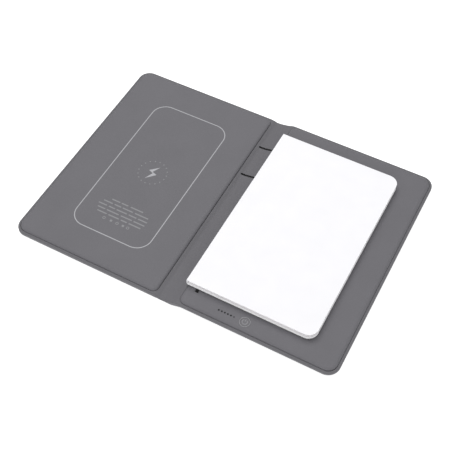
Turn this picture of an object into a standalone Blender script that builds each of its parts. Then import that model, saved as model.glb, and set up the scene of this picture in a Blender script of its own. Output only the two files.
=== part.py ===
"""A notebook folio with a wireless charging panel and a built-in power bank.

The folio lies open and flat.  +X runs across it from the charging panel to the
battery panel, +Y runs up the page and +Z up from the table.  The origin is at
the middle of the spine, on the table.  Sizes are in millimetres, and each mesh
is scaled to metres when its object is made.

The tree of moving pieces: battery panel (fixed) > spine_right > spine_left >
charging panel, each turning about a crease in the leather, and on the battery
panel the power button and the notebook's front cover.
"""

import math

import bmesh
import bpy
from mathutils import Matrix, Vector

MM = 0.001

# Driving dimensions
WIDTH = 310.0
HEIGHT = 225.0
CREASE = 10.0  # distance of the outer creases from the middle of the spine
CREASE_Z = 1.0  # height of the fold lines, in the thickness of the leather
CORNER = 11.0
RIM = 2.4  # turned-over edge around each pad
LEATHER = 0.9
GAP = 0.3  # between pieces that lie on each other
BEND_GAP = 0.15  # half the gap between the outer skins at a crease
ARC_STEPS = 7

# Each panel: its side of the spine, the heights of its rim and of its pad, and the
# loops round it as (inset, height): the leather's outer face, its hollow and the
# moulding inside.  The battery panel's side curves in under it towards the table.
CHARGER = {
    "side": -1,
    "rim": 4.0,
    "pad": 5.5,
    "pad_start": CREASE + 1.8,
    "outside": [(0.9, 0.0), (0.3, 0.25), (0.0, 0.9), (0.0, 2.6), (0.35, 3.45), (1.3, 4.0)],
    "hollow": [(0.9, 0.9), (0.9, 3.1)],
    "moulding": [(1.3, 2.4), (1.3, 2.8)],
    "moulding_top": [(4.0, 2.8), (4.0, 4.3)],
    "board_inset": 1.3,
}
BATTERY = {
    "side": 1,
    "rim": 6.4,
    "pad": 8.0,
    "pad_start": CREASE + 2.6,
    "outside": [
        (5.2, 0.0),
        (3.5, 0.3),
        (2.1, 1.05),
        (0.95, 2.2),
        (0.25, 3.35),
        (0.0, 4.3),
        (0.0, 5.0),
        (0.35, 5.85),
        (1.3, 6.4),
    ],
    "hollow": [(4.9, 0.9), (3.2, 1.45), (1.9, 2.55), (1.15, 3.7), (0.9, 4.5), (0.9, 5.5)],
    "moulding": [(2.7, 2.4), (1.6, 3.7), (1.3, 4.6), (1.3, 5.2)],
    "moulding_top": [(4.0, 5.2), (4.0, 6.8)],
    "board_inset": 5.0,
}

# Charging side
COIL_X = -78.4
COIL_Y = -1.0
COIL_OUTER = 24.0
COIL_INNER = 10.5
COIL_PITCH = 1.25
COIL_WIRE = 0.45  # radius
FERRITE_R = 26.0
CHARGER_BOARD = (-54.0, -18.0, -103.0, -84.0)  # x0, x1, y0, y1

# Spine
SPINE_TOP = 2.4
SLIT_YS = (39.0, 76.0)
SLIT_HALF = 7.2
SLIT_WIDTH = 1.2
FLEX_Y0 = -102.0
FLEX_Y1 = -93.0
FLEX_Z = 1.05
FLEX_THICK = 0.2

# Battery side
CONTROL_Y = -101.7  # line of the lights and the button
LED_COUNT = 6
LED_X = 45.8
LED_PITCH = 2.82
BUTTON_X = 69.9
BUTTON_R = 3.9
RING_R = 4.7
CELL = (60.0, 92.0, 4.2)
CELL_XS = (53.0, 117.0)
CELL_Y = 2.0
MAIN_BOARD = (38.0, 96.0, -105.6, -96.2)
PORT_BOARD = (42.0, 78.0, 97.0, 104.0)
PORT_X = 60.0
PORT_Z = 3.8
PORT_SHELL = (4.47, 1.63)  # half sizes
PORT_MOUTH = (4.9, 1.95)
PORT_FRONT = HEIGHT / 2 - 1.1

# Notebook
BOOK = (CREASE + 0.3, 127.2, -92.7, 91.3)  # x0, x1, y0, y1
BOOK_CORNER = 9.0
BACK_COVER = (8.25, 10.35)
PAGES = (10.6, 14.15)
FRONT_COVER = (14.4, 14.9)
TAPE = 0.3
STRAP_X = 21.2
STRAP_WIDTH = 2.6
STRAP_THICK = 0.5
STRAP_SLOT_OUT = 2.5  # how far past the notebook the strap goes down

# Finishes: colour, roughness, metallic
FINISHES = {
    "leather": ((0.176, 0.172, 0.190), 0.62, 0.0),
    "lining": ((0.184, 0.180, 0.198), 0.55, 0.0),
    "greyboard": ((0.36, 0.33, 0.29), 0.9, 0.0),
    "moulding": ((0.05, 0.05, 0.055), 0.5, 0.0),
    "copper": ((0.72, 0.33, 0.16), 0.35, 1.0),
    "ferrite": ((0.06, 0.055, 0.055), 0.6, 0.2),
    "circuit_board": ((0.02, 0.11, 0.06), 0.45, 0.0),
    "chip": ((0.02, 0.02, 0.022), 0.4, 0.0),
    "flex": ((0.55, 0.24, 0.05), 0.4, 0.0),
    "pouch": ((0.62, 0.63, 0.65), 0.35, 0.9),
    "light_guide": ((0.03, 0.03, 0.035), 0.2, 0.0),
    "led": ((0.85, 0.86, 0.8), 0.3, 0.0),
    "switch": ((0.6, 0.6, 0.6), 0.3, 0.9),
    "ring": ((0.42, 0.42, 0.44), 0.35, 0.6),
    "steel": ((0.6, 0.6, 0.62), 0.3, 1.0),
    "black_plastic": ((0.015, 0.015, 0.016), 0.45, 0.0),
    "elastic": ((0.006, 0.006, 0.007), 0.8, 0.0),
    "cover_card": ((0.88, 0.88, 0.89), 0.5, 0.0),
    "paper": ((0.80, 0.79, 0.80), 0.8, 0.0),
}


# Outlines and solids


def arc(cx, cy, r, start, turn=90.0):
    """Points along an arc that turns anticlockwise from start, in degrees."""
    angles = [math.radians(start + turn * i / ARC_STEPS) for i in range(ARC_STEPS + 1)]
    return [(cx + r * math.cos(a), cy + r * math.sin(a)) for a in angles]


def rounded(x0, x1, y0, y1, r0, r1):
    """A rectangle with corners of radius r0 at its x0 side and r1 at its x1 side."""
    return (
        arc(x0 + r0, y0 + r0, r0, 180)
        + arc(x1 - r1, y0 + r1, r1, 270)
        + arc(x1 - r1, y1 - r1, r1, 0)
        + arc(x0 + r0, y1 - r0, r0, 90)
    )


def circle(x, y, r, steps=28):
    """Points around a circle."""
    angles = [2 * math.pi * i / steps for i in range(steps)]
    return [(x + r * math.cos(a), y + r * math.sin(a)) for a in angles]


def level(outline, z):
    """An outline laid flat at height z."""
    return [(x, y, z) for x, y in outline]


def add_loft(bm, loops):
    """A closed skin through loops of equally many points, with both ends capped."""
    rings = [[bm.verts.new(p) for p in loop] for loop in loops]
    for low, high in zip(rings, rings[1:]):
        for i in range(len(low)):
            j = (i + 1) % len(low)
            bm.faces.new((low[i], low[j], high[j], high[i]))
    bm.faces.new(list(reversed(rings[0])))
    bm.faces.new(rings[-1])


def add_block(bm, box, z0, z1):
    """A plain block over (x0, x1, y0, y1)."""
    x0, x1, y0, y1 = box
    corners = [(x0, y0), (x1, y0), (x1, y1), (x0, y1)]
    add_loft(bm, [level(corners, z0), level(corners, z1)])


def add_plate(bm, box, z0, z1, r=1.5, edge=0.15):
    """A block with round corners and a small chamfer along its top edge."""
    x0, x1, y0, y1 = box
    full = rounded(x0, x1, y0, y1, r, r)
    top = rounded(x0 + edge, x1 - edge, y0 + edge, y1 - edge, r - edge / 2, r - edge / 2)
    add_loft(bm, [level(full, z0), level(full, z1 - edge), level(top, z1)])


def add_disc(bm, x, y, stack, steps=28):
    """A turned solid with an upright axis, from (radius, height) pairs."""
    add_loft(bm, [level(circle(x, y, r, steps), z) for r, z in stack])


def add_extrusion(bm, profile, y0, y1):
    """An (x, z) profile carried along Y."""
    add_loft(bm, [[(x, y, z) for x, z in profile] for y in (y0, y1)])


def add_tube(bm, path, r, sides=5):
    """A round wire along a path that lies nearly flat."""
    loops = []
    for i, point in enumerate(path):
        ahead = Vector(path[min(i + 1, len(path) - 1)])
        behind = Vector(path[max(i - 1, 0)])
        along = (ahead - behind).normalized()
        across = along.cross(Vector((0, 0, 1))).normalized()
        up = across.cross(along)
        turns = [2 * math.pi * k / sides for k in range(sides)]
        loops.append(
            [Vector(point) + r * (math.cos(a) * across + math.sin(a) * up) for a in turns]
        )
    add_loft(bm, loops)


def ribbon(path, thickness):
    """An (x, z) profile of a thin ribbon that follows an (x, z) path."""
    return path + [(x, z + thickness) for x, z in reversed(path)]


# Objects


def finish(obj, name):
    """Gives the object a material of its own."""
    colour, roughness, metallic = FINISHES[name]
    material = bpy.data.materials.new(obj.name + "_" + name)
    material.use_nodes = True
    shader = material.node_tree.nodes["Principled BSDF"]
    shader.inputs["Base Color"].default_value = (*colour, 1.0)
    shader.inputs["Roughness"].default_value = roughness
    shader.inputs["Metallic"].default_value = metallic
    obj.data.materials.append(material)


def mesh_object(name, bm, pivot):
    """Turns a bmesh in millimetres into an object whose origin is at the pivot."""
    bmesh.ops.recalc_face_normals(bm, faces=bm.faces)
    bm.transform(Matrix.Scale(MM, 4) @ Matrix.Translation(-Vector(pivot)))
    mesh = bpy.data.meshes.new(name)
    bm.to_mesh(mesh)
    bm.free()
    mesh.shade_smooth()
    mesh.set_sharp_from_angle(angle=math.radians(32))
    obj = bpy.data.objects.new(name, mesh)
    bpy.context.scene.collection.objects.link(obj)
    return obj


class Body:
    """A rigid group of pieces, hung on an empty at its joint."""

    def __init__(self, name, pivot, parent=None):
        self.pivot = Vector(pivot)
        self.empty = bpy.data.objects.new(name, None)
        bpy.context.scene.collection.objects.link(self.empty)
        self.empty.parent = parent.empty if parent else None
        start = parent.pivot if parent else Vector((0, 0, 0))
        self.empty.location = (self.pivot - start) * MM

    def add(self, name, bm, finish_name):
        obj = mesh_object(name, bm, self.pivot)
        obj.parent = self.empty
        finish(obj, finish_name)
        return obj

    def cut(self, obj, bm):
        """Cuts a shape away from one of the body's pieces."""
        cutter = mesh_object("cut_" + obj.name, bm, self.pivot)
        cutter.parent = self.empty
        cutter.hide_render = True
        cutter.display_type = "WIRE"
        modifier = obj.modifiers.new("cut", "BOOLEAN")
        modifier.operation = "DIFFERENCE"
        modifier.solver = "EXACT"
        modifier.object = cutter


def panel_loop(panel, inset, start, z, corner=None, start_corner=1.0):
    """A panel's outline, inset from the folio's edge and starting at start from mid-spine."""
    corner = CORNER - inset if corner is None else corner
    edge = HEIGHT / 2 - inset
    outline = rounded(start, WIDTH / 2 - inset, -edge, edge, start_corner, corner)
    return [(panel["side"] * x, y, z) for x, y in outline]


# Covers: the leather skin, its board and its pad


def cover_skin(body, name, panel):
    """Leather under a panel, turned up round its edge and over onto the rim."""
    rim, start = panel["rim"], CREASE + BEND_GAP
    bm = bmesh.new()
    add_loft(bm, [panel_loop(panel, inset, start, z) for inset, z in panel["outside"]])
    skin = body.add(name, bm, "leather")

    hollow = bmesh.new()
    under_lip = rim - LEATHER
    inner = panel["pad_start"] + 1.0
    add_loft(hollow, [panel_loop(panel, inset, inner, z) for inset, z in panel["hollow"]])
    body.cut(skin, hollow)

    mouth = bmesh.new()
    heights = (under_lip - 0.2, rim + 1.0)
    mouth_start = panel["pad_start"] - GAP
    add_loft(
        mouth,
        [panel_loop(panel, RIM, mouth_start, z, start_corner=5.0) for z in heights],
    )
    body.cut(skin, mouth)
    body.cut(skin, crease_relief(panel))
    flex_way = bmesh.new()
    x_range = sorted(panel["side"] * x for x in (CREASE - 1.0, inner + 1.0))
    add_block(flex_way, (*x_range, FLEX_Y0 - 0.6, FLEX_Y1 + 0.6), LEATHER, FLEX_Z + 0.6)
    body.cut(skin, flex_way)
    return skin


def crease_relief(panel):
    """The wedge left free over a crease, so that the spine can fold up."""
    side, rim = panel["side"], panel["rim"]
    foot = CREASE + GAP
    knee_z = rim - 1.1
    knee = foot + 0.65 * (knee_z - CREASE_Z)
    profile = [
        (foot - 2.0, CREASE_Z),
        (foot, CREASE_Z),
        (knee, knee_z),
        (knee + 9.0, rim),
        (knee + 9.0, rim + 2.0),
        (foot - 2.0, rim + 2.0),
    ]
    bm = bmesh.new()
    add_extrusion(bm, [(side * x, z) for x, z in profile], -HEIGHT, HEIGHT)
    return bm


def pad_lining(body, name, panel):
    """The soft raised pad: a shallow tray, open downwards, with round edges."""
    pad, rim, start = panel["pad"], panel["rim"], panel["pad_start"]
    skirt = rim - 0.8
    out = RIM + 0.35
    wall = LEATHER
    rings = [
        (wall, pad - LEATHER),
        (wall, skirt),
        (0.0, skirt),
        (0.0, pad - 1.1),
        (0.25, pad - 0.45),
        (0.7, pad - 0.1),
        (1.3, pad),
    ]
    bm = bmesh.new()
    add_loft(
        bm,
        [
            panel_loop(panel, out + w, start + w, z, start_corner=5.0 - w / 2)
            for w, z in rings
        ],
    )
    return body.add(name, bm, "lining")


def cover_board(body, name, panel):
    """The greyboard stiffener on the floor of a cover."""
    bm = bmesh.new()
    start = panel["pad_start"] + 1.0 + GAP
    z0 = LEATHER + GAP
    inset = panel["board_inset"]
    add_loft(bm, [panel_loop(panel, inset, start, z) for z in (z0, z0 + 0.9)])
    return body.add(name, bm, "greyboard")


def moulding_loops(panel):
    """A moulding that fills a cover, with a flange under the rim and a step up into the pad."""
    start = panel["pad_start"] + 1.3
    loops = []
    for set_back, rings in ((0.0, panel["moulding"]), (1.2, panel["moulding_top"])):
        for inset, z in rings:
            loops.append(panel_loop(panel, inset, start + set_back, z, start_corner=4.5))
    return loops


# Charging panel


def coil_tray(body):
    """The moulded sheet that holds the coil and its board."""
    panel = CHARGER
    bm = bmesh.new()
    add_loft(bm, moulding_loops(panel))
    tray = body.add("coil_tray", bm, "moulding")

    x0, x1, y0, y1 = CHARGER_BOARD
    round_pocket = bmesh.new()
    add_disc(round_pocket, COIL_X, COIL_Y, [(FERRITE_R + 1.0, 2.0), (FERRITE_R + 1.0, 6.0)], 48)
    body.cut(tray, round_pocket)
    board_pocket = bmesh.new()
    add_block(board_pocket, (x0 - 1.0, x1 + 20.0, y0 - 1.0, y1 + 1.0), 2.0, 6.0)
    body.cut(tray, board_pocket)
    lead_channel = bmesh.new()
    add_block(lead_channel, (-56.0, -50.0, y1 - 2.0, -6.0), 3.1, 6.0)
    body.cut(tray, lead_channel)


def charging_coil(body):
    """A flat spiral of wire, with its outer end led away to the charger board."""
    turns = (COIL_OUTER - COIL_INNER) / COIL_PITCH
    steps = int(turns * 20)
    path = []
    for i in range(steps + 1):
        a = 2 * math.pi * turns * i / steps
        r = COIL_INNER + COIL_PITCH * turns * i / steps
        a -= 2 * math.pi * turns
        path.append((COIL_X + r * math.cos(a), COIL_Y + r * math.sin(a), 3.8))
    start_x = COIL_X + COIL_OUTER
    path += [(start_x + 0.5, COIL_Y + 1.5, 3.8), (-53.0, COIL_Y - 8.0, 3.8)][1:]
    path += [(-53.0, y, 3.8) for y in (-20.0, -50.0, CHARGER_BOARD[3] + 1.0)]
    bm = bmesh.new()
    add_tube(bm, path, COIL_WIRE)
    body.add("charging_coil", bm, "copper")


def charging_panel(body):
    cover_skin(body, "charger_cover_skin", CHARGER)
    stiffener = cover_board(body, "charger_cover_board", CHARGER)
    notch = bmesh.new()
    add_block(notch, (CHARGER_BOARD[1] - 1.0, 0.0, FLEX_Y0 - 0.6, FLEX_Y1 + 0.6), 0.5, 3.0)
    body.cut(stiffener, notch)
    coil_tray(body)

    bm = bmesh.new()
    add_disc(bm, COIL_X, COIL_Y, [(FERRITE_R, 2.4), (FERRITE_R, 3.05)], 48)
    body.add("ferrite_sheet", bm, "ferrite")
    charging_coil(body)

    x0, x1, y0, y1 = CHARGER_BOARD
    bm = bmesh.new()
    add_block(bm, CHARGER_BOARD, 2.4, 3.1)
    body.add("charger_board", bm, "circuit_board")
    bm = bmesh.new()
    add_plate(bm, (x0 + 6, x0 + 13, y0 + 6, y0 + 13), 3.4, 4.3, 0.4)
    body.add("charger_chip", bm, "chip")
    bm = bmesh.new()
    add_plate(bm, (x0 + 19, x0 + 29, y0 + 4, y0 + 9), 3.4, 4.4, 0.6)
    body.add("charger_capacitor", bm, "ring")

    bm = bmesh.new()
    flex = [(-CREASE - GAP, FLEX_Z), (x1 + 4.0, FLEX_Z), (x1 + 1.0, 2.6), (x1 + 0.4, 2.6)]
    add_extrusion(bm, ribbon(flex, FLEX_THICK), FLEX_Y0, FLEX_Y1)
    body.add("charger_flex", bm, "flex")
    pad_lining(body, "charging_pad", CHARGER)


# Spine


def spine_half(body, side, name):
    """Skin, flex cable and slitted lining of one half of the spine."""
    edge = HEIGHT / 2
    bm = bmesh.new()
    ends = [(0.9, 0.0), (0.3, 0.25), (0.0, LEATHER)]
    x0, x1 = BEND_GAP, CREASE - BEND_GAP
    loops = []
    for inset, z in ends:
        outline = rounded(x0, x1, -edge + inset, edge - inset, 0.6, 0.6)
        loops.append([(side * x, y, z) for x, y in outline])
    add_loft(bm, loops)
    body.add("spine_skin_" + name, bm, "leather")

    bm = bmesh.new()
    flex = [(side * x, FLEX_Z) for x in (0.4, CREASE - 0.4)]
    add_extrusion(bm, ribbon(flex, FLEX_THICK), FLEX_Y0, FLEX_Y1)
    body.add("spine_flex_" + name, bm, "flex")

    low, high = SPINE_TOP - 0.85, SPINE_TOP
    profile = [(0.45, low), (CREASE - 0.65, low), (CREASE - 1.2, high), (0.8, high)]
    bm = bmesh.new()
    add_extrusion(bm, [(side * x, z) for x, z in profile], -edge + 0.5, edge - 0.5)
    lining = body.add("spine_lining_" + name, bm, "lining")
    for y in SLIT_YS:
        slit = bmesh.new()
        x_range = sorted((-side * 1.0, side * SLIT_HALF))
        half = SLIT_WIDTH / 2
        add_block(slit, (*x_range, y - half, y + half), 0.0, 5.0)
        body.cut(lining, slit)


# Battery panel


def battery_frame(body):
    """The moulded tray that holds the cells and the boards."""
    panel = BATTERY
    bm = bmesh.new()
    add_loft(bm, moulding_loops(panel))
    frame = body.add("battery_frame", bm, "moulding")

    w, h = CELL[:2]
    for x in CELL_XS:
        pocket = bmesh.new()
        half_w, half_h = w / 2 + 0.6, h / 2 + 4.6
        box = (x - half_w, x + half_w, CELL_Y - half_h, CELL_Y + half_h)
        add_block(pocket, box, 2.0, 8.0)
        body.cut(frame, pocket)

    x0, x1, y0, y1 = MAIN_BOARD
    pocket = bmesh.new()
    add_block(pocket, (x0 - 10.0, x1 + 0.6, y0 - 0.6, y1 + 0.6), 3.1, 8.0)
    body.cut(frame, pocket)
    button_way = bmesh.new()
    add_disc(button_way, BUTTON_X, CONTROL_Y - 0.1, [(RING_R + 0.4, 6.0), (RING_R + 0.4, 8.0)], 32)
    body.cut(frame, button_way)
    flex_way = bmesh.new()
    add_block(flex_way, (10.0, x0 - 0.5, FLEX_Y0 - 0.6, FLEX_Y1 + 0.6), 2.0, 8.0)
    body.cut(frame, flex_way)

    x0, x1, y0, y1 = PORT_BOARD
    pocket = bmesh.new()
    add_block(pocket, (x0 - 0.6, x1 + 0.6, y0 - 0.6, y1 + 0.6), 3.1, 8.0)
    body.cut(frame, pocket)
    port_way = bmesh.new()
    add_block(port_way, (PORT_X - 5.3, PORT_X + 5.3, y1 - 2.0, HEIGHT), 1.0, 8.0)
    body.cut(frame, port_way)
    for x, y in screw_places():
        hole = bmesh.new()
        add_disc(hole, x, y, [(0.95, 2.6), (0.95, 4.0)], 16)
        body.cut(frame, hole)
    link_way = bmesh.new()
    add_block(link_way, (16.4, 21.6, FLEX_Y1 - 1.0, PORT_BOARD[2] + 4.0), 3.1, 8.0)
    body.cut(frame, link_way)
    link_arm = bmesh.new()
    add_block(link_arm, (16.4, x0, 97.4, 102.6), 3.1, 8.0)
    body.cut(frame, link_arm)


def screw_places():
    """Where the two boards are screwed down."""
    mx0, mx1, my0, my1 = MAIN_BOARD
    px0, px1, py0, py1 = PORT_BOARD
    middle, port_middle = (my0 + my1) / 2, (py0 + py1) / 2
    return [
        (mx0 + 2.2, middle),
        (mx1 - 2.2, middle),
        (px0 + 2.2, port_middle),
        (px1 - 2.2, port_middle),
    ]


def circuit_board(body, name, box, holes):
    bm = bmesh.new()
    add_block(bm, box, 3.4, 4.2)
    board = body.add(name, bm, "circuit_board")
    for x, y in holes:
        hole = bmesh.new()
        add_disc(hole, x, y, [(0.95, 3.0), (0.95, 5.0)], 16)
        body.cut(board, hole)
    return board


def battery_cells(body):
    """Two lithium pouches, each with its sealed fold at the top."""
    w, h, t = CELL
    for name, x in zip(("left", "right"), CELL_XS):
        z0 = LEATHER + GAP + 0.9 + GAP
        bm = bmesh.new()
        y0, y1 = CELL_Y - h / 2, CELL_Y + h / 2
        full = rounded(x - w / 2, x + w / 2, y0, y1, 2.0, 2.0)
        slim = rounded(x - w / 2 + 0.8, x + w / 2 - 0.8, y0 + 0.8, y1 - 0.8, 1.6, 1.6)
        add_loft(
            bm,
            [level(slim, z0), level(full, z0 + 0.7), level(full, z0 + t - 0.7), level(slim, z0 + t)],
        )
        body.add("battery_cell_" + name, bm, "pouch")
        seal = bmesh.new()
        add_block(seal, (x - w / 2 + 2, x + w / 2 - 2, y1 + GAP, y1 + 4.0), z0 + 1.6, z0 + 2.0)
        body.add("cell_seal_" + name, seal, "pouch")


def usb_port(body):
    """The port's metal shell and the contact blade inside it, facing +Y."""
    front, depth = PORT_FRONT, 6.6
    half_w, half_h = PORT_SHELL

    def loop(inset, y):
        outline = rounded(
            PORT_X - half_w + inset,
            PORT_X + half_w - inset,
            PORT_Z - half_h + inset,
            PORT_Z + half_h - inset,
            half_h - inset - 0.02,
            half_h - inset - 0.02,
        )
        return [(x, y, z) for x, z in outline]

    wall = 0.3
    bm = bmesh.new()
    add_loft(
        bm,
        [
            loop(0.0, front - depth),
            loop(0.0, front),
            loop(wall, front),
            loop(wall, front - depth + 1.0),
        ],
    )
    body.add("usb_c_shell", bm, "steel")
    bm = bmesh.new()
    tongue = (PORT_X - 3.3, PORT_X + 3.3, front - depth + 1.3, front - 1.2)
    add_block(bm, tongue, PORT_Z - 0.35, PORT_Z + 0.35)
    body.add("usb_c_tongue", bm, "black_plastic")


def lights(body):
    """A row of small lights on the board, and the tinted guide that carries each to the pad."""
    for i in range(LED_COUNT):
        x = LED_X + i * LED_PITCH
        bm = bmesh.new()
        add_block(bm, (x - 0.8, x + 0.8, CONTROL_Y - 0.4, CONTROL_Y + 0.4), 4.5, 5.0)
        body.add(f"status_light_{i + 1}", bm, "led")

    last = LED_X + (LED_COUNT - 1) * LED_PITCH
    bm = bmesh.new()
    bar = (LED_X - 1.6, last + 1.6, CONTROL_Y - 1.4, CONTROL_Y + 1.4)
    add_plate(bm, bar, 5.3, 6.6, 0.8)
    guide = body.add("light_guide", bm, "light_guide")
    for i in range(LED_COUNT):
        pin = bmesh.new()
        stack = [(0.6, 6.0), (0.6, BATTERY["pad"] - 0.12), (0.42, BATTERY["pad"])]
        add_disc(pin, LED_X + i * LED_PITCH, CONTROL_Y, stack, 12)
        join(body, guide, pin)


def join(body, obj, bm):
    """Unites a shape with one of the body's pieces."""
    body.cut(obj, bm)
    obj.modifiers[-1].operation = "UNION"


def button_parts(fixed, moving):
    """Switch and ring on the panel; cap and plunger that move together."""
    x, y, top = BUTTON_X, CONTROL_Y - 0.1, BATTERY["pad"]
    bm = bmesh.new()
    add_plate(bm, (x - 2.6, x + 2.6, y - 2.6, y + 2.6), 4.5, 5.2, 0.4)
    fixed.add("tactile_switch", bm, "switch")

    bm = bmesh.new()
    inner, z0 = BUTTON_R + GAP, top - LEATHER + 0.1
    loops = [(inner, z0), (RING_R, z0), (RING_R, top + 0.05), (RING_R - 0.15, top + 0.15)]
    loops += [(inner + 0.12, top + 0.15), (inner, top + 0.03)]
    rings = [[bm.verts.new(p) for p in level(circle(x, y, r, 36), z)] for r, z in loops]
    for low, high in zip(rings, rings[1:] + rings[:1]):
        for i in range(len(low)):
            j = (i + 1) % len(low)
            bm.faces.new((low[i], low[j], high[j], high[i]))
    fixed.add("button_ring", bm, "ring")

    bm = bmesh.new()
    flange = RING_R - 0.2
    stack = [(flange, 6.6), (flange, 6.85), (BUTTON_R, 6.85), (BUTTON_R, top)]
    stack += [(BUTTON_R - 0.15, top + 0.1), (BUTTON_R - 0.9, top + 0.12)]
    add_disc(bm, x, y, stack, 36)
    moving.add("power_button", bm, "lining")
    bm = bmesh.new()
    add_disc(bm, x, y, [(1.1, 5.65), (1.2, 5.75), (1.2, 6.4)], 20)
    moving.add("switch_plunger", bm, "black_plastic")


def notebook_strap(body):
    """The black elastic that lies under the notebook and dives into the pad at both ends."""
    bm = bmesh.new()
    z = BATTERY["pad"] + 0.2
    down = 6.95
    ends = (BOOK[2] - STRAP_SLOT_OUT, BOOK[3] + STRAP_SLOT_OUT)
    half = STRAP_THICK / 2
    path = [(ends[0], down), (ends[0], z - 0.5), (ends[0] + 0.35, z - 0.05), (ends[0] + 0.9, z + half)]
    path += [(ends[1] - 0.9, z + half), (ends[1] - 0.35, z - 0.05), (ends[1], z - 0.5), (ends[1], down)]
    normals = []
    for i in range(len(path)):
        before, after = path[max(i - 1, 0)], path[min(i + 1, len(path) - 1)]
        along = Vector((after[0] - before[0], after[1] - before[1])).normalized()
        normals.append((-along[1] * half, along[0] * half))
    outer = [(p[0] + n[0], p[1] + n[1]) for p, n in zip(path, normals)]
    inner = [(p[0] - n[0], p[1] - n[1]) for p, n in zip(path, normals)]
    profile = outer + list(reversed(inner))
    sides = (STRAP_X - STRAP_WIDTH / 2, STRAP_X + STRAP_WIDTH / 2)
    add_loft(bm, [[(x, y, z) for y, z in profile] for x in sides])
    body.add("notebook_strap", bm, "elastic")


def notebook(fixed, cover):
    """Back cover, pages and spine tape on the panel; the front cover opens."""
    x0, x1, y0, y1 = BOOK

    def outline(inset, start=x0):
        r = BOOK_CORNER - inset
        return rounded(start, x1 - inset, y0 + inset, y1 - inset, 0.8, r)

    edge = 0.25
    bm = bmesh.new()
    low, high = BACK_COVER
    add_loft(
        bm,
        [
            level(outline(edge), low),
            level(outline(0.0), low + edge),
            level(outline(0.0), high - edge),
            level(outline(edge), high),
        ],
    )
    back = fixed.add("notebook_back_cover", bm, "cover_card")
    groove = bmesh.new()
    half = STRAP_WIDTH / 2 + 0.4
    add_block(groove, (STRAP_X - half, STRAP_X + half, y0 - 2, y1 + 2), low - 1, low + 0.75)
    fixed.cut(back, groove)

    bm = bmesh.new()
    pages = outline(0.5, x0 + TAPE + 0.25)
    add_loft(bm, [level(pages, z) for z in PAGES])
    fixed.add("notebook_pages", bm, "paper")
    bm = bmesh.new()
    add_block(bm, (x0, x0 + TAPE, y0 + 0.5, y1 - 0.5), *PAGES)
    fixed.add("notebook_spine_tape", bm, "cover_card")

    low, high = FRONT_COVER
    bm = bmesh.new()
    add_loft(bm, [level(outline(0.0), low), level(outline(0.0), high - 0.15), level(outline(0.15), high)])
    cover.add("notebook_front_cover", bm, "cover_card")


def battery_panel(body, button):
    skin = cover_skin(body, "battery_cover_skin", BATTERY)
    port = bmesh.new()
    half_w, half_h = PORT_MOUTH
    mouth = rounded(-half_w, half_w, -half_h, half_h, half_h - 0.05, half_h - 0.05)
    add_extrusion(
        port,
        [(PORT_X + x, PORT_Z + z) for x, z in mouth],
        HEIGHT / 2 - 4.0,
        HEIGHT / 2 + 2.0,
    )
    body.cut(skin, port)
    board = cover_board(body, "battery_cover_board", BATTERY)
    notch = bmesh.new()
    add_block(notch, (PORT_X - 6.0, PORT_X + 6.0, PORT_BOARD[3], HEIGHT), 0.5, 3.0)
    body.cut(board, notch)
    battery_frame(body)
    battery_cells(body)
    circuit_board(body, "main_board", MAIN_BOARD, screw_places()[:2])
    circuit_board(body, "port_board", PORT_BOARD, screw_places()[2:])
    x0, x1, y0, y1 = MAIN_BOARD
    bm = bmesh.new()
    add_plate(bm, (x1 - 13, x1 - 6, y0 + 1.2, y0 + 8.2), 4.5, 6.4, 0.8)
    body.add("boost_inductor", bm, "ferrite")
    bm = bmesh.new()
    add_plate(bm, (x1 - 20, x1 - 15, y0 + 2, y0 + 7), 4.5, 5.4, 0.3)
    body.add("power_chip", bm, "chip")
    usb_port(body)
    for i, (x, y) in enumerate(screw_places()):
        bm = bmesh.new()
        add_disc(bm, x, y, [(0.65, 2.7), (0.65, 4.5), (1.3, 4.5), (1.3, 4.9), (0.9, 5.1)], 16)
        body.add(f"board_screw_{i + 1}", bm, "steel")
    lights(body)
    button_parts(body, button)

    bm = bmesh.new()
    flex = [(CREASE + GAP, FLEX_Z), (x0 - 5.0, FLEX_Z), (x0 - 1.6, 3.7), (x0 - 0.8, 3.7)]
    add_extrusion(bm, ribbon(flex, FLEX_THICK), FLEX_Y0, FLEX_Y1)
    body.add("battery_flex", bm, "flex")
    notch = bmesh.new()
    add_block(notch, (0.0, x0 + 2.0, FLEX_Y0 - 0.6, FLEX_Y1 + 0.6), 0.5, 3.0)
    body.cut(board, notch)

    bm = bmesh.new()
    arm = [(17.0, FLEX_Y1 + 1.2), (21.0, FLEX_Y1 + 1.2), (21.0, 98.0)]
    arm += [(PORT_BOARD[0] - GAP, 98.0), (PORT_BOARD[0] - GAP, 102.0), (17.0, 102.0)]
    add_loft(bm, [level(arm, 3.5), level(arm, 3.7)])
    body.add("link_ribbon", bm, "flex")

    pad = pad_lining(body, "notebook_pad", BATTERY)
    for i in range(LED_COUNT):
        hole = bmesh.new()
        add_disc(hole, LED_X + i * LED_PITCH, CONTROL_Y, [(0.9, 6.0), (0.9, 9.0)], 16)
        body.cut(pad, hole)
    hole = bmesh.new()
    add_disc(hole, BUTTON_X, CONTROL_Y - 0.1, [(RING_R + GAP, 6.0), (RING_R + GAP, 9.0)], 36)
    body.cut(pad, hole)
    for y in (BOOK[2] - STRAP_SLOT_OUT, BOOK[3] + STRAP_SLOT_OUT):
        slot = bmesh.new()
        half = STRAP_WIDTH / 2 + 0.35
        add_block(slot, (STRAP_X - half, STRAP_X + half, y - 0.6, y + 1.0), 6.0, 9.0)
        body.cut(pad, slot)


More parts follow.
